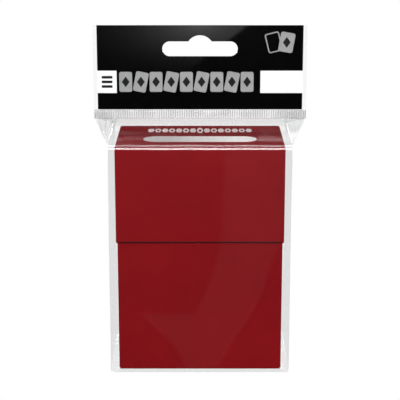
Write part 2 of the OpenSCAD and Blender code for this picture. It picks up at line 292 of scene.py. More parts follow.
def swept_bead(name, points, radius, material):
    """A bead of the given radius along a path of points, as a mesh."""
    curve = bpy.data.curves.new(name, "CURVE")
    curve.dimensions = "3D"
    curve.bevel_depth = radius
    curve.extrude = BEAD_HALF_HEIGHT
    curve.bevel_resolution = 2
    curve.use_fill_caps = True
    line = curve.splines.new("POLY")
    line.points.add(len(points) - 1)
    for target, point in zip(line.points, points):
        target.co = (*point, 1)
    guide = bpy.data.objects.new(name + "_path", curve)
    bpy.context.scene.collection.objects.link(guide)
    bpy.context.view_layer.update()
    mesh = bpy.data.meshes.new_from_object(guide.evaluated_get(bpy.context.evaluated_depsgraph_get()))
    bpy.data.objects.remove(guide)
    mesh.name = name
    mesh.materials.clear()
    mesh.materials.append(material)
    for face in mesh.polygons:
        face.use_smooth = True
    bead = bpy.data.objects.new(name, mesh)
    bpy.context.scene.collection.objects.link(bead)
    print(name, len(mesh.polygons), "faces")
    return bead


edge_x = lid_high.x - sheet / 2
edge_y = lid_low.y + sheet / 2
edge_z = lid_low.z + BEAD_RADIUS + BEAD_HALF_HEIGHT
half_path = [Vector((edge_x, wing_high.y - REAR_MARGIN, edge_z + WING_REAR_RISE)),
             Vector((edge_x, wing_low.y + WING_LEVEL, edge_z)),
             Vector((edge_x, edge_y + CORNER_TURN, edge_z))]
for inward, back in CORNER_BENDS:
    half_path.append(Vector((edge_x - inward * MM, edge_y + back * MM, edge_z + CORNER_LIFT)))
half_path.append(Vector((edge_x - CORNER_TURN, edge_y, edge_z)))
mirrored = [Vector((-point.x, point.y, point.z)) for point in reversed(half_path)]
# painted shadow: the bead's dark red stands for the shade under the lid's lower edge
painted_shadow_edge = satin_sheet("painted_shadow_edge", ink(60, 12, 12))
lid_cut_edge = swept_bead("lid_cut_edge", half_path + mirrored, BEAD_RADIUS, painted_shadow_edge)
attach(lid_cut_edge, "lid")

# %% [markdown]
# ## Print, foil and card
# The header card is printed gloss black. The lid carries a white write-on strip and a foil-stamped
# ornament. Ink is never even, so each print gets its own faint mottle. The write-on strip is the one
# exception: it goes from light grey at its left end to white at its right, a painted shade for a side light
# that falls on it more from the right.

# %% Print finishes
INK_DEPTH = 0.004 * MM


def mottled(name, colour, roughness, specular, size, shade):
    """Ink with darker blotches. size is the blotches' size, and shade is how dark they are."""
    material, shader = new_finish(name, colour, roughness, specular)
    darker = tuple(shade * c for c in colour[:3]) + (1.0,)
    pattern = grain(material, size, detail=4)
    join(material, shade_between(material, pattern, darker, colour), shader.inputs["Base Color"])
    join(material, spread(material, pattern, roughness * 0.85, roughness * 1.15),
         shader.inputs["Roughness"])
    relief(material, shader, grain(material, size / 6), INK_DEPTH, 0.5)
    return material


black_print = mottled("gloss_black_print", ink(2, 2, 3), 0.4, 0.01, 6 * MM, shade=0.6)
white_label = mottled("white_label", ink(253, 253, 253), 0.5, 0.3, 3 * MM, shade=0.97)
grey_print = mottled("grey_print", ink(163, 163, 164), 0.45, 0.2, 2 * MM, shade=0.93)
black_ink = mottled("black_ink", ink(14, 14, 14), 0.5, 0.2, 1 * MM, shade=0.7)

strip_low, strip_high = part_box("name_strip")
write_on_white, strip_shader = new_finish("write_on_white", ink(240, 236, 235), 0.45, specular=0.15)
# painted shade: the white strip is greyed towards its left end, as a light from the right would leave it
along_strip = spread(write_on_white, axes(write_on_white)["X"], 0.0, 1.0, strip_low.x, strip_high.x)
painted_side_shade = shade_between(write_on_white, along_strip, ink(204, 198, 197), ink(253, 249, 248), 0.25, 0.8)
join(write_on_white, painted_side_shade, strip_shader.inputs["Base Color"])
relief(write_on_white, strip_shader, grain(write_on_white, 0.6 * MM), 0.006 * MM, 0.5)

foil, foil_shader = new_finish("stamped_foil", ink(250, 243, 241), 0.3, 0.5, metallic=0.1)
join(foil, spread(foil, grain(foil, 1.5 * MM), 0.2, 0.42), foil_shader.inputs["Roughness"])
relief(foil, foil_shader, grain(foil, 0.5 * MM), 0.01 * MM, 0.6)

coat("header_card", black_print)
coat("contents_label", white_label)
coat("colour_label", white_label)
coat("name_strip", write_on_white)
print("print finishes:", [m.name for m in (black_print, white_label, grey_print, black_ink,
                                           write_on_white, foil)])


# %% [markdown]
# ## Mesh helpers
# The other new pieces start as a bmesh, a mesh that a script builds point by point. One helper makes
# the object from it, and the other closes the gap between two loops of points.

# %% Mesh helpers
def new_piece(name, bm, material, smooth=lambda face: False):
    """Turns a finished bmesh into an object. smooth(face) says which faces get soft shading."""
    mesh = bpy.data.meshes.new(name)
    bm.to_mesh(mesh)
    bm.free()
    mesh.materials.append(material)
    for face in mesh.polygons:
        face.use_smooth = smooth(face)
    piece = bpy.data.objects.new(name, mesh)
    bpy.context.scene.collection.objects.link(piece)
    return piece


def bridge(bm, first, second):
    """Joins two loops of equal length with one face for each pair of neighbours."""
    for i in range(len(first)):
        j = (i + 1) % len(first)
        bm.faces.new((first[i], first[j], second[j], second[i]))


# %% [markdown]
# ## The foil ornament
# The foil ornament is a row of six-sided beads, open and filled in turn, with a taller one in the
# middle. The CAD model has only its outline, so this piece replaces it. The helper lays flat shapes on
# a plane: each outline becomes a very thin plate, and a second outline inside it becomes a hole.

# %% Foil ornament
BEADS_EACH_SIDE = 7
MIDDLE_BEAD = 1.35        # the middle bead's height, as a share of the CAD ornament's
OTHER_BEADS = 1.08        # the others' height near the middle,
BEAD_SHRINK = 0.03        # less this much for each bead outwards
BEAD_HALF_WIDTH = 0.47    # as a share of the distance from bead to bead
BEAD_HOLE = 0.45          # the hole's size, as a share of the bead's
BEAD_SHOULDER = 0.55      # where a bead's level edges end, as a share of its half width


def flat_plates(name, shapes, thick, place, material):
    """Thin plates from pairs of an outline and a hole (or None). place(x, y, lift) gives the 3-D point."""
    bm = bmesh.new()
    for outline, hole in shapes:
        loops = [outline] if hole is None else [outline, hole]
        lower = [[bm.verts.new(place(x, y, 0)) for x, y in loop] for loop in loops]
        upper = [[bm.verts.new(place(x, y, thick)) for x, y in loop] for loop in loops]
        for low_loop, high_loop in zip(lower, upper):
            bridge(bm, low_loop, high_loop)
        for level in (lower, upper):
            if hole is None:
                bm.faces.new(level[0])
            else:
                bridge(bm, *level)
    bmesh.ops.recalc_face_normals(bm, faces=bm.faces)
    print(name, len(shapes), "plates")
    return new_piece(name, bm, material)


def foil_bead(x, half_width, half_height, share=1.0):
    """A six-sided bead centred on x, shrunk to a share of its size."""
    corners = ((1, 0), (BEAD_SHOULDER, 1), (-BEAD_SHOULDER, 1),
               (-1, 0), (-BEAD_SHOULDER, -1), (BEAD_SHOULDER, -1))
    return [(x + half_width * share * dx, half_height * share * dy) for dx, dy in corners]


foil_low, foil_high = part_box("foil_ornament")
foil_middle_y = (foil_low.y + foil_high.y) / 2
foil_half_height = (foil_high.y - foil_low.y) / 2
bead_pitch = foil_high.x / (BEADS_EACH_SIDE + 0.5)
foil_shapes = []
for i in range(-BEADS_EACH_SIDE, BEADS_EACH_SIDE + 1):
    tall = foil_half_height * (MIDDLE_BEAD if i == 0 else OTHER_BEADS - BEAD_SHRINK * abs(i))
    outline = foil_bead(i * bead_pitch, bead_pitch * BEAD_HALF_WIDTH, tall)
    hole = foil_bead(i * bead_pitch, bead_pitch * BEAD_HALF_WIDTH, tall, BEAD_HOLE)
    foil_shapes.append((outline, hole if i % 2 == 0 else None))
foil_print = flat_plates("foil_print", foil_shapes, foil_high.z - foil_low.z,
                         lambda x, y, lift: (x, foil_middle_y + y, foil_low.z + lift), foil)
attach(foil_print, "lid")
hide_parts("foil_ornament")

# %% [markdown]
# ## Clear film
# Thin film could be real refracting glass, but light then reaches the box only by chance and the
# picture turns noisy. A see-through shader is quicker: almost clear where it is seen face on, and
# greyer where it is seen edge on, which is how a bag's folded sides read. What shows of it is mostly
# reflection, so it is a mirror-like grey with a low alpha. A soft ripple breaks up its highlights.

# %% Film finish
FILM_TINT = (0.93, 0.94, 0.96, 1)
RIPPLE_DEPTH = 0.06 * MM


def clear_film(name, face_on, edge_on, roughness, ripple):
    """See-through film. face_on and edge_on are how grey it reads from straight ahead and at a slant."""
    material, shader = new_finish(name, FILM_TINT, roughness, metallic=1.0)
    slant = add_node(material, "ShaderNodeLayerWeight", values={"Blend": 0.5}).outputs["Facing"]
    alpha = spread(material, calculate(material, "POWER", slant, 1.5), face_on, edge_on)
    join(material, alpha, shader.inputs["Alpha"])
    relief(material, shader, grain(material, ripple, detail=1), RIPPLE_DEPTH, 0.35)
    return material, shader


bag_film, bag_film_shader = clear_film("bag_film", 0.048, 0.11, roughness=0.12, ripple=5 * MM)
header_film, header_film_shader = clear_film("header_film", 0.02, 0.12, roughness=0.13, ripple=14 * MM)
print("film finishes:", bag_film.name, "and", header_film.name)

# %% [markdown]
# A painted sheen stands in for the broad reflection that drifts over the film. It turns a small share of
# the film from mirror to plain grey, so it lowers the Metallic value. On the front it is one wide band,
# which leaves the lid's top right of the middle, bends to the left on its way down and narrows near the
# floor. A flare leaves it there, to the left. Each shape is written as the distance inside its edge, so
# that one soft step can shade them both.

# %% Painted sheen on the front
BAND_SHEEN = 0.05
BAND_TOP_X = 23 * MM      # where the band's middle leaves the lid's top
BAND_SWEEP = 27 * MM      # how far left it has swept at the bottom
BAND_BEND = 2.2           # above 1, it sweeps mostly near the bottom
BAND_HALF = 13 * MM
BAND_WANDER = 7 * MM      # how far its middle wanders to each side
WANDER_SIZE = 45 * MM
TAPER_HEIGHT = 14 * MM    # below this height the band narrows,
TAPER = 11 * MM           # by this much on each side at the floor
FLARE_TOP_Z = 27.5 * MM   # the flare's level upper edge
FLARE_START = -1.5 * MM   # places its slanted lower edge
EDGE_OUTSIDE = -1 * MM    # the painted sheen fades in from here
EDGE_INSIDE = 1.5 * MM    # to here


def off_band_middle(x, z):
    """How far right of the band's middle line a place is."""
    fallen = spread(bag_film, z, 1.0, 0.0, 0.0, lid_top)
    sweep = calculate(bag_film, "MULTIPLY", calculate(bag_film, "POWER", fallen, BAND_BEND), BAND_SWEEP)
    wander = spread(bag_film, grain(bag_film, WANDER_SIZE, detail=1),
                    -BAND_TOP_X - BAND_WANDER, -BAND_TOP_X + BAND_WANDER)
    return calculate(bag_film, "ADD", calculate(bag_film, "ADD", x, sweep), wander)


def inside_flare(x, z, off_middle):
    """How far a place is inside the flare, which has three straight edges."""
    under_top = calculate(bag_film, "SUBTRACT", FLARE_TOP_Z, z)
    above_slant = calculate(bag_film, "ADD", calculate(bag_film, "ADD", x, z), FLARE_START)
    left_of_band = calculate(bag_film, "SUBTRACT", BAND_HALF, off_middle)
    corner = calculate(bag_film, "MINIMUM", under_top, above_slant)
    return calculate(bag_film, "MINIMUM", corner, left_of_band)


def painted_sheen_on_front(x, z):
    """The share of painted sheen in the band and its flare."""
    off_middle = off_band_middle(x, z)
    aside = calculate(bag_film, "ABSOLUTE", off_middle)
    taper = smooth_step(bag_film, z, 0.0, TAPER_HEIGHT, TAPER, 0.0)
    in_band = calculate(bag_film, "SUBTRACT", calculate(bag_film, "SUBTRACT", BAND_HALF, aside), taper)
    inside = calculate(bag_film, "MAXIMUM", in_band, inside_flare(x, z, off_middle))
    return smooth_step(bag_film, inside, EDGE_OUTSIDE, EDGE_INSIDE, 0.0, BAND_SHEEN)


# %% [markdown]
# On the neck, painted highlights lie in fine streaks that run along the lid's front edge, standing in for
# the glints of the film's wrinkles there. They are a noise pattern stretched sideways, strongest above the
# lid's front corners.

# %% Painted highlight streaks on the neck
STREAK_HIGHLIGHT = 0.3
STREAK_SIZE = 4 * MM
STREAK_STRETCH = (0.12, 1, 1)
STREAK_EDGE = (0.35, 0.7)                # where in the pattern a streak starts and is full
NECK_FADE_IN = (0.2 * MM, 0.8 * MM)      # above the lid's edge
FRONT_FADE_IN = (-7 * MM, -16 * MM)      # from the first y, forwards to the second
CORNER_FADE_IN = (18 * MM, 34 * MM)      # off the middle, where they grow stronger
STREAK_MIDDLE = 0.35                     # their strength in the middle, as a share


def painted_highlight_streaks(x, y, z):
    """The share of painted highlight in the neck's streaks."""
    on_neck = smooth_step(bag_film, z, neck + NECK_FADE_IN[0], neck + NECK_FADE_IN[1])
    near_front = smooth_step(bag_film, y, *FRONT_FADE_IN)
    streak = smooth_step(bag_film, grain(bag_film, STREAK_SIZE, 3, STREAK_STRETCH), *STREAK_EDGE)
    aside = calculate(bag_film, "ABSOLUTE", x)
    corner = smooth_step(bag_film, aside, *CORNER_FADE_IN, STREAK_MIDDLE, 1.0)
    where = calculate(bag_film, "MULTIPLY", on_neck, near_front)
    strength = calculate(bag_film, "MULTIPLY", streak, corner)
    streaks = calculate(bag_film, "MULTIPLY", where, strength)
    return calculate(bag_film, "MULTIPLY", streaks, STREAK_HIGHLIGHT)


film_x, film_y, film_z = axes(bag_film)
# the painted sheen on the front and the painted highlight streaks on the neck turn part of the film from
# mirror to plain grey
painted_sheen_and_glints = calculate(bag_film, "ADD", painted_sheen_on_front(film_x, film_z), painted_highlight_streaks(film_x, film_y, film_z))
join(bag_film, calculate(bag_film, "SUBTRACT", 1.0, painted_sheen_and_glints), bag_film_shader.inputs["Metallic"])
print("nodes in the bag's film:", len(bag_film.node_tree.nodes))

# %% [markdown]
# The header's film has one broad soft glow, a painted highlight in place of a soft reflection. It starts at
# the top, in the middle, and a long crease cuts it off on the right. Where it glows, the film is painted
# both less clear and less mirror-like. A round gradient, squeezed flat, gives the falling edge.

# %% Painted glow on the header
GLOW_HALF_WIDTH = 59 * MM
GLOW_HEIGHT = 24 * MM
GLOW_GREY = 0.036         # how much less clear the film is in the middle of the glow
GLOW_MIRROR = 0.4         # and how much of its mirror is left there
PAST_CREASE = 0.12        # the share of the glow that is left beyond the crease
CREASE_TOP_X = 21 * MM    # where the crease meets the header's top edge
CREASE_ACROSS = Vector((-0.6, 0, 0.8))    # at right angles to the crease, up and to the left
CREASE_SOFT = (-0.5 * MM, 1.5 * MM)       # the glow's step at the crease goes from here to there


def glow_patch():
    """1 at the middle of the header's top edge, falling to 0 at the rim of a flat ellipse."""
    where = add_node(header_film, "ShaderNodeTexCoord")
    squeeze = add_node(header_film, "ShaderNodeMapping",
                       values={"Location": (0, 0, -header_high.z / GLOW_HEIGHT),
                               "Scale": (1 / GLOW_HALF_WIDTH, 0, 1 / GLOW_HEIGHT)})
    join(header_film, where.outputs["Object"], squeeze.inputs["Vector"])
    patch = add_node(header_film, "ShaderNodeTexGradient", {"gradient_type": "SPHERICAL"})
    join(header_film, squeeze.outputs["Vector"], patch.inputs["Vector"])
    return calculate(header_film, "POWER", patch.outputs["Fac"], 2.0)


def left_of_crease():
    """1 on the crease's upper left side, and PAST_CREASE on the other."""
    where = add_node(header_film, "ShaderNodeTexCoord")
    off_crease = add_node(header_film, "ShaderNodeVectorMath", {"operation": "SUBTRACT"},
                          {1: (CREASE_TOP_X, 0, header_high.z)})
    join(header_film, where.outputs["Object"], off_crease.inputs[0])
    across = add_node(header_film, "ShaderNodeVectorMath", {"operation": "DOT_PRODUCT"}, {1: CREASE_ACROSS})
    join(header_film, off_crease.outputs["Vector"], across.inputs[0])
    return smooth_step(header_film, across.outputs["Value"], *CREASE_SOFT, PAST_CREASE)


clear = header_film_shader.inputs["Alpha"].links[0].from_socket
# painted highlight: the glow greys the film and takes away part of its mirror
glow = calculate(header_film, "MULTIPLY", glow_patch(), left_of_crease())
painted_glow_alpha = calculate(header_film, "ADD", calculate(header_film, "MULTIPLY", glow, GLOW_GREY), clear)
join(header_film, painted_glow_alpha, header_film_shader.inputs["Alpha"])
join(header_film, spread(header_film, glow, 1.0, GLOW_MIRROR), header_film_shader.inputs["Metallic"])
print("nodes in the header's film:", len(header_film.node_tree.nodes))

# %% [markdown]
# ## The shape of the bag
# A side-gusseted bag is a tube with a flat front and back and a pleated strip at each side. The box
# stretches the strips almost flat. Above the lid the tube closes like the top of a milk carton: the
# front and back lean together, and each side folds inwards along its middle.
#
# A sheet like this could be draped by a cloth simulation, but a loft gives exact control of where the
# film touches the box. One function returns the plan of the bag as a closed ring of points, and both
# parts of the bag stack such rings.

# %% One ring of the bag
FRONT_STEPS = 60
SIDE_STEPS = 30
SIDE_FULLNESS = 5         # 2 is a plain arc, and more makes the film run out sideways first
side_bulge = 0.35 * MM    # how far the sides still stand out in the middle
# The steps along a side are closer together near its corners, where the film turns most.
SIDE_SHARES = [0.5 - 0.5 * math.cos(math.pi * i / SIDE_STEPS) for i in range(SIDE_STEPS)]


def mix(a, b, share):
    """The value a share of the way from a to b."""
    return a + (b - a) * share


def column_share(i):
    """Where column i of a flat film stands, from 0 to 1. The columns are closer near the pleated ends."""
    even = i / FRONT_STEPS
    return mix(even, 0.5 - 0.5 * math.cos(math.pi * even), 0.5)


def ring(half, front, back, bulge, pleat=0.0):
    """The bag in plan, counter-clockwise from the front left corner.

    bulge is how far the sides stand out in the middle, or in when it is negative. pleat turns their
    full bow into a sharp fold."""
    def bow(share):
        off_middle = abs(2 * share - 1)
        return mix(1 - off_middle ** SIDE_FULLNESS, 1 - off_middle, pleat)

    points = []
    for i in range(FRONT_STEPS):
        points.append(Vector((mix(-half, half, column_share(i)), front, 0)))
    for share in SIDE_SHARES:
        points.append(Vector((half + bulge * bow(share), mix(front, back, share), 0)))
    for i in range(FRONT_STEPS):
        points.append(Vector((mix(half, -half, column_share(i)), back, 0)))
    for share in SIDE_SHARES:
        points.append(Vector((-half - bulge * bow(share), mix(back, front, share), 0)))
    return points


def is_back(column):
    """True for the columns of the flat back film."""
    return FRONT_STEPS + SIDE_STEPS <= column < 2 * FRONT_STEPS + SIDE_STEPS


print("points in a ring:", 2 * (FRONT_STEPS + SIDE_STEPS))


# %% [markdown]
# Film that hugs a box isn't flat. It has long shallow waves over the panels, and they show only as a
# sheen that drifts across the front. The waves are a function of the place on the bag, so the parts
# of the bag above and below the slit match along it.

# %% Waves in the film
BROAD_WAVE = 34 * MM
BROAD_DEPTH = 0.55 * MM
BROAD_LEAN = 0.6          # the broad waves lean this much to the right on their way up
BROAD_UPRIGHT = 0.5       # below 1, the waves are longer upright than across
FINE_WAVE = 7 * MM
FINE_DEPTH = 0.05 * MM
FINE_UPRIGHT = 0.4


def wave(place, length, seed):
    """A smooth bump of -1 to 1 at a place, with waves about length metres long."""
    return noise.noise(place / length + Vector((seed, 2 * seed, 0)))


def hugging_wave(place):
    """How far the film stands off its plain place, in metres, always outwards."""
    slanted = Vector((place.x - BROAD_LEAN * place.z, place.y, place.z * BROAD_UPRIGHT))
    broad = 0.5 + 0.5 * wave(slanted, BROAD_WAVE, 3.1)
    fine = wave(Vector((place.x, place.y, place.z * FINE_UPRIGHT)), FINE_WAVE, 7.7)
    return BROAD_DEPTH * broad + FINE_DEPTH * fine


def push_out(points, amount):
    """Moves each point of a ring away from the bag by what amount(point) gives."""
    moved = []
    count = len(points)
    for i, point in enumerate(points):
        along = points[(i + 1) % count] - points[i - 1]
        outward = Vector((along.y, -along.x, 0)).normalized()
        moved.append(point + outward * amount(point))
    return moved


print("the film stands off by up to", round((BROAD_DEPTH + FINE_DEPTH) / MM, 2), "mm")


# %% [markdown]
# A stack of rings becomes a mesh with one face between each four neighbours. Film has two sides, so
# the Solidify modifier gives the sheet its thickness. It is drawn a little thicker than real film.

# %% Rings to film
FILM_THICK = 0.08 * MM
RIM_ANGLE = math.radians(75)     # edges sharper than this keep a crisp shade, as the cut rim does


def film_mesh(name, rings, keep=lambda row, column: True, closed=True):
    """A sheet through rings of equal length. keep(row, column) says which of its faces exist."""
    bm = bmesh.new()
    verts = [[bm.verts.new(point) for point in points] for points in rings]
    width = len(rings[0])
    for row in range(len(rings) - 1):
        for column in range(width if closed else width - 1):
            if keep(row, column):
                after = (column + 1) % width
                bm.faces.new((verts[row][column], verts[row][after],
                              verts[row + 1][after], verts[row + 1][column]))
    bmesh.ops.delete(bm, geom=[v for v in bm.verts if not v.link_faces], context="VERTS")
    piece = new_piece(name, bm, bag_film, smooth=lambda face: True)
    skin = piece.modifiers.new("film_thickness", "SOLIDIFY")
    skin.thickness = FILM_THICK
    skin.offset = 1.0
    crisp = piece.modifiers.new("crisp_rim", "EDGE_SPLIT")
    crisp.split_angle = RIM_ANGLE
    crisp.use_edge_sharp = False
    print(name, len(piece.data.polygons), "faces")
    return piece


# %% [markdown]
# ## The lower bag
# The lower part holds the base. Its bottom is a flat block bottom: the rings close in to a line across
# the middle of the floor. Just above the floor the sides are pulled in, which cuts the bag's lower
# corners off at a slant. The back film goes on up to the hinge, behind the lid.

# %% Lower bag
CORNER_RISE = 1.6 * MM    # height of the slanted lower corners
CORNER_CUT = 0.8 * MM     # how far they are cut in
CALM_UNDER_NECK = 6 * MM  # the waves fade out over this height, up to the lid's edge
ROW = 1.2 * MM
RIM_Z = 0.5 * MM          # height of the rim around the bag's bottom
FLOOR_Z = 0.1 * MM        # height of the film under the box
FOLD_HEIGHT = 0.25 * MM   # the block bottom's folds lift the film by up to twice this
FOLD_SIZE = 12 * MM
CLOSING_SHARES = (0.995, 0.8, 0.6, 0.4, 0.25, 0.12, 0.05, 0.015)    # from the middle out to the rim


def heights(low, high, step):
    """Evenly spaced values from low to high, about step apart."""
    count = max(2, round((high - low) / step))
    return [mix(low, high, i / count) for i in range(count + 1)]


def bag_ring(z, back=film_back):
    """The ring of the bag around the box at height z, with its waves.

    The slanted corners take the sides in most, and the front and back a little."""
    cut = CORNER_CUT * max(0.0, 1 - z / CORNER_RISE) ** 1.5
    points = ring(film_half - 0.4 * cut, film_front + 0.3 * cut, back - 0.3 * cut,
                  side_bulge - 0.6 * cut)
    for point in points:
        point.z = z
    calm = min(1.0, (neck - z) / CALM_UNDER_NECK)
    return push_out(points, lambda point: calm * hugging_wave(point))


def bottom_ring(share):
    """The bag's bottom, closing from its rim at share 0 to a line across the middle at 1."""
    points = []
    for point in bag_ring(RIM_Z):
        fold = FOLD_HEIGHT * (1 + wave(point * (1 - share), FOLD_SIZE, 5.0))
        level = mix(RIM_Z, FLOOR_Z, min(1, 6 * share))
        points.append(Vector((point.x * mix(1, 0.6, share), point.y * (1 - share), level + fold * share)))
    return points


bottom = [bottom_ring(share) for share in CLOSING_SHARES]
wall = [bag_ring(z) for z in heights(RIM_Z, slit - slit_gap, ROW)]
last_wall_row = len(bottom) + len(wall) - 1
tall_back = [bag_ring(z) for z in heights(slit - slit_gap, back_film_top, ROW)[1:]]
lower_bag = film_mesh("lower_bag", bottom + wall + tall_back,
                      keep=lambda row, column: row < last_wall_row or is_back(column))
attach(lower_bag, "base")
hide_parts("bag_front_film", "bag_back_film", "bag_left_gusset", "bag_right_gusset",
            "bag_bottom_film")

# %% [markdown]
# ## The upper bag and its neck
# The upper part holds the front and sides above the slit, and the neck that closes over the lid. The film
# rounds the lid's front edge, so the neck rises steeply at first and then lies back at a gentle slope. That
# rounded stretch is what catches the light in a bright line along the edge.
#
# The header can fold on the neck.

# %% Upper bag
EDGE_RISE = 1.5 * MM      # how far the film climbs as it rounds the lid's front edge
EDGE_RUN = 1.3 * MM       # the distance in which it does so
PLEAT_DEPTH = 10 * MM     # how deep the side pleats reach in at the seal
NECK_ROWS = 26
REAR_CUT = 9 * MM         # the height over which the rear edge leaves the hinge free
REAR_GAP = 0.2 * MM       # below that it ends this far in front of the back film
END_REST = 0.3 * MM       # how far the film stays from the ends of the CAD's back shoulder and seal
SEAL_LAP = 0.2 * MM       # how far the neck reaches up into the seal
RIPPLE_SIZE = 9 * MM      # the neck has soft ripples
RIPPLE_RUN = 14 * MM      # it passes through this much of them from the lid to the seal
RIPPLE_HEIGHTS = (0.28 * MM, 0.7 * MM)     # in the middle and at the corners
CREASE_SIZE = 3.2 * MM    # and small creases
CREASE_RUN = 5 * MM
CREASE_HEIGHTS = (0.05 * MM, 0.22 * MM)

neck_end = seal_low.z + SEAL_LAP
neck_gap = 0.3 * MM       # from the front and back film to the middle, where they meet


def rear_edge(z):
    """Where the upper bag's sides end at the back: they curve forward of the hinge near the top."""
    share = min(1.0, max(0.0, (z - (neck - REAR_CUT)) / REAR_CUT))
    return mix(film_back - REAR_GAP, neck_back - END_REST, share * share)


def neck_ring(share):
    """The closing neck, from the lid at share 0 to the seal at share 1.

    A share to a power below 1 makes a change quick at first."""
    front = mix(film_front, -neck_gap, share)
    back = mix(rear_edge(neck), neck_gap, share)
    edge = EDGE_RISE * (1 - math.exp(-share * abs(film_front) / EDGE_RUN))
    z = neck + edge + (neck_end - neck - EDGE_RISE) * share
    half = mix(film_half, seal_high.x - END_REST, share ** 0.9)
    bulge = mix(side_bulge, -PLEAT_DEPTH, share ** 0.85)
    points = ring(half, front, back, bulge, pleat=share)
    slack = math.sin(math.pi * share) ** 0.7
    for point in points:
        corner = min(1.0, abs(point.x) / film_half) ** 6
        ripple = wave(Vector((point.x, share * RIPPLE_RUN, point.y * 0.3)), RIPPLE_SIZE, 11.0)
        crease = wave(Vector((point.x, point.y * 0.2, share * CREASE_RUN)), CREASE_SIZE, 4.0)
        rise = mix(*RIPPLE_HEIGHTS, corner) * ripple + mix(*CREASE_HEIGHTS, corner) * crease
        point.z = z + slack * rise
    return points


tube = [bag_ring(z, rear_edge(z)) for z in heights(slit, neck, ROW)[:-1]]
neck_shares = [(i / NECK_ROWS) ** 1.5 for i in range(NECK_ROWS + 1)]
upper_bag = film_mesh("upper_bag", tube + [neck_ring(share) for share in neck_shares],
                      keep=lambda row, column: row >= len(tube) or not is_back(column))
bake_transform(upper_bag)
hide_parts("bag_lid_front_film", "bag_lid_left_gusset", "bag_lid_right_gusset",
            "bag_front_shoulder", "bag_back_shoulder", "bag_left_shoulder", "bag_right_shoulder")

# %% [markdown]
# Small pleats fan out from the lid's corners to the ends of the seal. In each one the film lies double, so
# it reads as a grey line. The pleats are narrow strips of the same film that lie on the neck. All of them
# are one mesh, whose rows hold two points for each strip.

# %% Small pleats
PLEAT_LINES = (0.14, 0.62, 1.05)    # where the pleats run, as shares of the fan's width
FAN_AT_LID = 1.0 * MM     # the fan's width at the lower end of the pleats
FAN_AT_SEAL = 7.5 * MM    # and at the seal's end
PLEAT_LOW = 0.34          # the pleats start this share of the way up the neck,
PLEAT_HIGH = 0.97         # end here,
PLEAT_STEP = 0.04         # and have a row of points at every such step
PLEAT_WIDTH = 0.9 * MM
PLEAT_TIP = 0.35          # the width at the lower end, as a share
PLEAT_LIFT = 0.14 * MM    # how far the doubled film lies off the neck
OFF_NECK = Vector((0, -0.3, 1))    # about at right angles to the neck's front


def on_front(row, x):
    """The point of the neck's front film at x, in one row of its points from left to right."""
    for left, right in zip(row, row[1:]):
        if left.x <= x <= right.x:
            return left.lerp(right, (x - left.x) / (right.x - left.x))
    return row[0].copy() if x < row[0].x else row[-1].copy()


def pleat_row(share):
    """Two points for each pleat's strip, at one height of the neck."""
    row = neck_ring(share)[:FRONT_STEPS + 1]
    up = (share - PLEAT_LOW) / (1 - PLEAT_LOW)
    fan = mix(FAN_AT_LID, FAN_AT_SEAL, up)
    width = PLEAT_WIDTH * mix(PLEAT_TIP, 1.0, up)
    points = []
    for side in (-1, 1):
        for line in PLEAT_LINES:
            middle = side * (row[-1].x - line * fan - width / 2)
            for x in (middle - width / 2, middle + width / 2):
                points.append(on_front(row, x) + OFF_NECK * PLEAT_LIFT)
    return points


pleat_shares = heights(PLEAT_LOW, PLEAT_HIGH, PLEAT_STEP)
neck_pleats = film_mesh("neck_pleats", [pleat_row(share) for share in pleat_shares],
                        keep=lambda row, column: column % 2 == 0, closed=False)
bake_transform(neck_pleats)

# %% [markdown]
# ## The crimped heat seal
# Hot ribbed jaws weld the layers of film into one strip. The ribs run up and down, about one to the
# millimetre, and front and back follow each other as in corrugated card. Near the ends the pleats
# double the layers, and the strip looks denser there, so the finish gets greyer towards the ends.

# %% Heat seal finish
RIB_PITCH = 0.98 * MM
PLEAT_DENSE = 33 * MM     # from here outwards the strip holds the pleats too
PLEAT_FADE = 3 * MM
SINGLE_GREY = 0.72        # the strip's greyness without the pleats, as a share
CREST_GREY = 0.46         # the most opaque part of a rib
VALLEY_GREY = 0.26        # and the clearest
VALLEY_END = -0.6         # where the rib's wave leaves its clearest stretch
PATCH_SIZE = 7 * MM       # the seal isn't even: its greyness varies in patches of this size
PATCHES = (0.4, 1.6)      # between these shares

crimped_film, crimp_shader = new_finish("crimped_film", (0.62, 0.63, 0.65, 1), 0.35, metallic=1.0)


def seal_greyness():
    """The strip's opacity: a wave in step with the ribs, stronger where the pleats double it."""
    x = axes(crimped_film)["X"]
    phase = calculate(crimped_film, "MULTIPLY", x, 2 * math.pi / RIB_PITCH)
    rib = calculate(crimped_film, "SINE", phase)
    grey = spread(crimped_film, rib, VALLEY_GREY, CREST_GREY, VALLEY_END, 1.0)
    aside = calculate(crimped_film, "ABSOLUTE", x)
    layers = spread(crimped_film, aside, SINGLE_GREY, 1.0, PLEAT_DENSE - PLEAT_FADE, PLEAT_DENSE)
    patchy = spread(crimped_film, grain(crimped_film, PATCH_SIZE), *PATCHES)
    return calculate(crimped_film, "MULTIPLY", calculate(crimped_film, "MULTIPLY", grey, layers), patchy)


join(crimped_film, seal_greyness(), crimp_shader.inputs["Alpha"])
relief(crimped_film, crimp_shader, grain(crimped_film, 0.8 * MM), 0.03 * MM, 0.5)
print("nodes in the heat seal:", len(crimped_film.node_tree.nodes))

# %% [markdown]
# A bump map could fake the ribs, but they show in the strip's outline too, so they are real geometry:
# one closed loop of points for every eighth of a rib, each joined to the next.

# %% Heat seal
RIB_STEPS = 8
RIB_DEPTH = 0.16 * MM
SEAL_HALF_THICK = 0.2 * MM
RIM_ROUND = 0.6 * MM      # the strip thins towards its edges over this height
THIN_RIM = 0.35           # to this share of its thickness


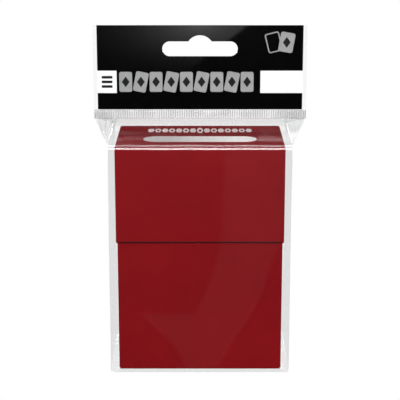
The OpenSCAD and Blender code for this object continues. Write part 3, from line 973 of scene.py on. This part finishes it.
def seal_strip():
    """The corrugated strip, as a closed band with thinner upper and lower edges."""
    width = seal_high.x - seal_low.x
    ribs = round(width / RIB_PITCH)
    columns = [mix(seal_low.x, seal_high.x, i / (ribs * RIB_STEPS)) for i in range(ribs * RIB_STEPS + 1)]
    rows = heights(seal_low.z, seal_high.z, RIM_ROUND)
    profile = [(z, -1) for z in rows] + [(z, 1) for z in reversed(rows)]
    bm = bmesh.new()
    loops = []
    for x in columns:
        rib = RIB_DEPTH * math.cos(2 * math.pi * (x - seal_low.x) / width * ribs)
        loop = []
        for z, side in profile:
            rim = min(1.0, THIN_RIM + min(z - seal_low.z, seal_high.z - z) / RIM_ROUND)
            loop.append(bm.verts.new((x, (rib + side * SEAL_HALF_THICK) * rim, z)))
        loops.append(loop)
    for before, after in zip(loops, loops[1:]):
        bridge(bm, before, after)
    bm.faces.new(loops[0])
    bm.faces.new(loops[-1])
    bmesh.ops.recalc_face_normals(bm, faces=bm.faces)
    print("crimped_seal:", ribs, "ribs")
    return new_piece("crimped_seal", bm, crimped_film, smooth=lambda face: len(face.vertices) == 4)


crimped_seal = seal_strip()
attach(crimped_seal, "header")
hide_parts("heat_seal_strip")

# %% [markdown]
# ## The film around the header card
# The two sheets above the seal are loose at the top, so they stand off the card a little. The front
# one has a long diagonal crease, a low ridge that falls away faster above than below.

# %% Shape of the header films
CREASE_HEIGHT = 1.6 * MM
CREASE_FADE = 17 * MM     # the ridge falls away over this distance above
BELOW_FADE = 26 * MM      # and by half over this distance below
CREASE_LOW_Z = 122 * MM   # from here down the crease is at its lowest,
CREASE_LOW = 0.45         # at this share of its height
CREASE_BEND = 2.5 * MM    # how far it bends to and fro,
BEND_SIZE = 30 * MM       # about this far from bend to bend
HEADER_RIPPLE = 0.08 * MM
HEADER_RIPPLE_SIZE = 14 * MM
BACK_HEIGHT = 0.5 * MM    # the back film has only soft waves of about this height
BACK_WAVE = 24 * MM


def front_header_puff(place):
    """How far the front film of the header stands off the card."""
    across = (place - Vector((CREASE_TOP_X, 0, header_high.z))).dot(CREASE_ACROSS)
    across += CREASE_BEND * wave(Vector((place.x, 0, place.z)), BEND_SIZE, 2.0)
    if across > 0:
        crest = math.exp(-across / CREASE_FADE)
    else:
        crest = 1 - 0.5 * min(1.0, -across / BELOW_FADE)
    rise = min(1.0, max(0.0, (place.z - CREASE_LOW_Z) / (header_high.z - CREASE_LOW_Z)))
    ripple = HEADER_RIPPLE * (1 + wave(place, HEADER_RIPPLE_SIZE, 6.0))
    return CREASE_HEIGHT * mix(CREASE_LOW, 1.0, rise) * crest + ripple


def back_header_puff(place):
    """How far the back film of the header stands off the card."""
    return BACK_HEIGHT * (1 + wave(place, BACK_WAVE, 9.0))


print("the crease stands", round(CREASE_HEIGHT / MM, 1), "mm off the card at the top")

# %% [markdown]
# The CAD sheet already has the hang slot, so it is copied and sliced fine enough to carry these
# shapes. Then each point moves out by what the shape gives there.

# %% Header films
HAIR = 0.001 * MM         # next to nothing
HEADER_STEP = 1.5 * MM
SEALED_RISE = 9 * MM      # height over which the films part above the seal
SEALED_SIDE = 6 * MM      # and the distance in which they part at the sides,
SIDE_GAP = 0.25           # where this share of the gap is left


def waved_header_film(name, node, puff, side):
    """A copy of a CAD header film that stands off the card. side is -1 at the front."""
    bm = bmesh.new()
    bm.from_mesh(nodes[node].data)
    bmesh.ops.remove_doubles(bm, verts=bm.verts, dist=HAIR)
    low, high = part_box(node)
    for axis in (0, 2):
        normal = Vector((0, 0, 0))
        normal[axis] = 1
        for place in heights(low[axis], high[axis], HEADER_STEP)[1:-1]:
            bmesh.ops.bisect_plane(bm, geom=bm.verts[:] + bm.edges[:] + bm.faces[:],
                                   dist=HAIR, plane_co=normal * place, plane_no=normal)
    for vert in bm.verts:
        free = min(1.0, (vert.co.z - low.z) / SEALED_RISE)
        margin = min(1.0, (high.x - abs(vert.co.x)) / SEALED_SIDE) ** 0.5
        vert.co.y += side * free * mix(SIDE_GAP, 1.0, margin) * puff(vert.co.copy())
    film = new_piece(name, bm, header_film, smooth=lambda face: abs(face.normal.y) > 0.7)
    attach(film, "header")
    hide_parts(node)
    print(name, len(film.data.polygons), "faces")
    return film


waved_header_film("header_window", "header_front_film", front_header_puff, -1)
waved_header_film("header_back_window", "header_back_film", back_header_puff, 1)

# %% [markdown]
# ## Print on the header
# Plain playing-card shapes stand in for the maker's lettering. Each shape is a flat outline with a
# very thin edge, laid on the card as a print lies on its board.

# %% Print shapes
PRINT_THICK = 0.015 * MM
ARC_STEPS = 6
PIP_SLIM = 0.72           # a pip's width, as a share of its height


def rounded_card(x, z, width, height, corner, lean=0.0):
    """The outline of a playing card centred on x, z, leaning by an angle in degrees."""
    outline = []
    for quarter in range(4):
        side_x = 1 if quarter in (0, 3) else -1
        side_z = 1 if quarter in (0, 1) else -1
        for i in range(ARC_STEPS + 1):
            angle = math.radians(90 * (quarter + i / ARC_STEPS))
            outline.append(Vector((side_x * (width / 2 - corner) + corner * math.cos(angle), 0,
                                   side_z * (height / 2 - corner) + corner * math.sin(angle))))
    turn = math.radians(lean)
    return [Vector((x + p.x * math.cos(turn) - p.z * math.sin(turn), 0,
                    z + p.x * math.sin(turn) + p.z * math.cos(turn))) for p in outline]


def diamond(x, z, size):
    """A pip of the given half height, centred on x, z."""
    corners = ((PIP_SLIM, 0), (0, 1), (-PIP_SLIM, 0), (0, -1))
    return [Vector((x + size * dx, 0, z + size * dz)) for dx, dz in corners]


def print_on_header(name, outlines, material, surface, layer=0):
    """Thin flat shapes whose backs lie on the plane y = surface of the header."""
    bm = bmesh.new()
    back = surface - layer * PRINT_THICK
    for outline in outlines:
        near = [bm.verts.new((p.x, back - PRINT_THICK, p.z)) for p in outline]
        far = [bm.verts.new((p.x, back - HAIR, p.z)) for p in outline]
        bm.faces.new(near)
        bm.faces.new(far[::-1])
        bridge(bm, near, far)
    bmesh.ops.recalc_face_normals(bm, faces=bm.faces)
    piece = new_piece(name, bm, material)
    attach(piece, "header")
    print(name, len(outlines), "shapes")
    return piece


# %% [markdown]
# A row of cards fills the band between the two white labels, every second one leaning.

# %% Print on the band
CARD_COUNT = 9
CARD_SIZE = (5.5 * MM, 8.6 * MM, 0.8 * MM)       # width, height and corner radius
CARD_LEAN = -11                                  # degrees
PIP_SIZE = 2.3 * MM
ROW_MARGINS = (0.6 * MM, 2.4 * MM)               # from the left label, and to the right one

label_low, label_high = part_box("contents_label")
end_label_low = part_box("colour_label")[0]
band_middle = (label_low.z + label_high.z) / 2
card_face = card_low.y

row_start = label_high.x + ROW_MARGINS[0]
row_end = end_label_low.x - ROW_MARGINS[1]
row_pitch = (row_end - row_start) / CARD_COUNT
row_cards = []
row_pips = []
for i in range(CARD_COUNT):
    x = row_start + (i + 0.5) * row_pitch
    row_cards.append(rounded_card(x, band_middle, *CARD_SIZE, 0 if i % 2 == 0 else CARD_LEAN))
    row_pips.append(diamond(x, band_middle, PIP_SIZE))
print_on_header("band_cards", row_cards, grey_print, card_face)
print_on_header("band_pips", row_pips, black_ink, card_face, layer=1)

# %% [markdown]
# A pair of cards stands in the upper right corner. The shapes overlap, so each is printed one thin
# layer nearer than the one behind it.

# %% Print in the corner
CORNER_CARD = (6.2 * MM, 8.4 * MM, 0.9 * MM)
CORNER_INSIDE = (5.2 * MM, 7.4 * MM, 0.6 * MM)   # the back card's black middle
BACK_LEAN = 14
FRONT_LEAN = -10
PAIR_DROP = 7.2 * MM      # the cards' middles are this far below the header's top
BACK_INSET = 12.5 * MM    # and this far in from its right edge
FRONT_INSET = 7 * MM

corner_z = card_high.z - PAIR_DROP
back_x = card_high.x - BACK_INSET
front_x = card_high.x - FRONT_INSET
back_card = rounded_card(back_x, corner_z, *CORNER_CARD, BACK_LEAN)
back_middle = rounded_card(back_x, corner_z, *CORNER_INSIDE, BACK_LEAN)
front_card = rounded_card(front_x, corner_z, *CORNER_CARD, FRONT_LEAN)
corner_pip = diamond(front_x, corner_z, PIP_SIZE)
print_on_header("corner_cards", [back_card], grey_print, card_face)
print_on_header("corner_card_middle", [back_middle], black_print, card_face, layer=1)
print_on_header("corner_front_card", [front_card], grey_print, card_face, layer=2)
print_on_header("corner_pip", [corner_pip], black_ink, card_face, layer=3)

# %% [markdown]
# The left label has three bars for its contents.

# %% Bars on the label
BAR_SIZE = (4.6 * MM, 1.1 * MM, 0.3 * MM)        # width, height and corner radius
BAR_PITCH = 2 * MM

label_middle = (label_low.x + label_high.x) / 2
bars = [rounded_card(label_middle, band_middle + i * BAR_PITCH, *BAR_SIZE) for i in (-1, 0, 1)]
print_on_header("contents_bars", bars, black_ink, label_low.y)

# %% [markdown]
# ## Studio
# The pack stands in a white surround that throws no shadow. To the camera the floor and the world are
# white. Everything else sees a darker room: clear film is mostly reflection, and if it reflected white
# on every side, it would fog the red box behind it. So the floor is dark to reflected light and
# brightens away from the box, and the world is grey.

# %% Floor and world
FLOOR_SIZE = 6.0
FLOOR_DROP = 0.2 * MM     # the floor lies this far below the bag
NEAR_EDGE = 0.08          # the floor starts to brighten this far from the middle
FAR_EDGE = 0.6
FLOOR_NEAR = 0.012
FLOOR_FAR = 0.02
WORLD_GREY = 0.07
WHITE = (1, 1, 1, 1)


def camera_or(owner, seen_by_light):
    """White to the camera, and what seen_by_light gives to every other ray."""
    path = add_node(owner, "ShaderNodeLightPath")
    white = add_node(owner, seen_by_light.bl_idname, values={"Color": WHITE, "Strength": 1.0})
    choose = add_node(owner, "ShaderNodeMixShader")
    join(owner, path.outputs["Is Camera Ray"], choose.inputs["Fac"])
    join(owner, seen_by_light.outputs[0], choose.inputs[1])
    join(owner, white.outputs[0], choose.inputs[2])
    return choose.outputs[0]


world = bpy.data.worlds.new("studio")
world.use_nodes = True
bpy.context.scene.world = world
room = world.node_tree.nodes["Background"]
room.inputs["Color"].default_value = WHITE
room.inputs["Strength"].default_value = WORLD_GREY
join(world, camera_or(world, room), world.node_tree.nodes["World Output"].inputs["Surface"])

bpy.ops.mesh.primitive_grid_add(x_subdivisions=8, y_subdivisions=8, size=FLOOR_SIZE,
                                location=(0, 0, -FLOOR_DROP))
floor = bpy.context.object
floor.name = "floor"
pale_floor = bpy.data.materials.new("pale_floor")
pale_floor.use_nodes = True
pale_floor.node_tree.nodes.remove(pale_floor.node_tree.nodes["Principled BSDF"])
shine = add_node(pale_floor, "ShaderNodeEmission")
distance = add_node(pale_floor, "ShaderNodeVectorMath", {"operation": "LENGTH"})
floor_where = add_node(pale_floor, "ShaderNodeTexCoord")
join(pale_floor, floor_where.outputs["Object"], distance.inputs[0])
brightness = spread(pale_floor, distance.outputs["Value"], FLOOR_NEAR, FLOOR_FAR, NEAR_EDGE, FAR_EDGE)
join(pale_floor, brightness, shine.inputs["Strength"])
floor_output = pale_floor.node_tree.nodes["Material Output"]
join(pale_floor, camera_or(pale_floor, shine), floor_output.inputs["Surface"])
floor.data.materials.append(pale_floor)
floor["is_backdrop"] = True
print("floor:", FLOOR_SIZE, "m square")


# %% [markdown]
# Big soft lights surround the pack. Their size matters more than their number: each is a rectangle
# that the film can reflect as one broad patch. They are hidden from the camera, so that no view shows
# a lamp.

# %% Lights
def soft_light(name, place, aim, size, radiance):
    """A rectangular lamp whose surface has the given brightness, whatever its size."""
    lamp = bpy.data.lights.new(name, "AREA")
    lamp.shape = "RECTANGLE"
    lamp.size, lamp.size_y = size
    lamp.energy = radiance * math.pi * size[0] * size[1]
    holder = bpy.data.objects.new(name, lamp)
    holder.location = place
    holder.rotation_euler = (Vector(aim) - Vector(place)).to_track_quat("-Z", "Y").to_euler()
    holder.visible_camera = False
    bpy.context.scene.collection.objects.link(holder)
    print(name, round(lamp.energy, 2), "W")


MIDDLE = (0, 0, 0.07)
soft_light("front_key", (-0.3, -1.4, 0.6), MIDDLE, (1.4, 0.6), 7.7)
soft_light("front_fill", (0.7, -1.0, 0.6), MIDDLE, (0.7, 0.7), 2.6)
soft_light("front_low", (0, -1.3, 0.36), MIDDLE, (1.6, 0.25), 2.0)
soft_light("overhead", (0, -0.25, 1.3), MIDDLE, (1.2, 0.3), 4.8)
soft_light("left_side", (-1.1, 0.4, 0.45), MIDDLE, (0.9, 0.7), 4.2)
soft_light("right_side", (1.1, 0.4, 0.45), MIDDLE, (0.9, 0.7), 4.2)
soft_light("rear_low", (0, 1.2, 0.05), (0, 0, 0.05), (1.6, 0.09), 22)

# %% [markdown]
# ## Camera
# The pack is seen from straight in front and a little above, from a little over half a metre. A long
# lens from that distance keeps the lid's sides nearly parallel.

# %% Camera and colour
CAMERA_PLACE = (0, -0.55, 0.2172)
CAMERA_PITCH = 14.87      # degrees below the horizon
LENS = 117.3
SENSOR = 36
FILM_LAYERS = 32          # how many layers of film a ray may pass

camera_data = bpy.data.cameras.new("camera")
camera_data.lens = LENS
camera_data.sensor_width = SENSOR
camera = bpy.data.objects.new("camera", camera_data)
camera.location = CAMERA_PLACE
camera.rotation_euler = (math.radians(90 - CAMERA_PITCH), 0, 0)
bpy.context.scene.collection.objects.link(camera)
bpy.context.scene.camera = camera
bpy.context.scene.view_settings.view_transform = "Standard"
bpy.context.scene.cycles.transparent_max_bounces = FILM_LAYERS
print("camera:", round(camera.location.length, 2), "m from the middle of the bag's bottom")

# %% [markdown]
# ## Sizes
# The two boxes below show how closely the looks keep to the CAD model's box.

# %% Sizes
visual_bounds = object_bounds()
for label, corners in (("CAD", cad_bounds), ("visual", visual_bounds)):
    print(label, [[round(value / MM, 2) for value in corner] for corner in corners])
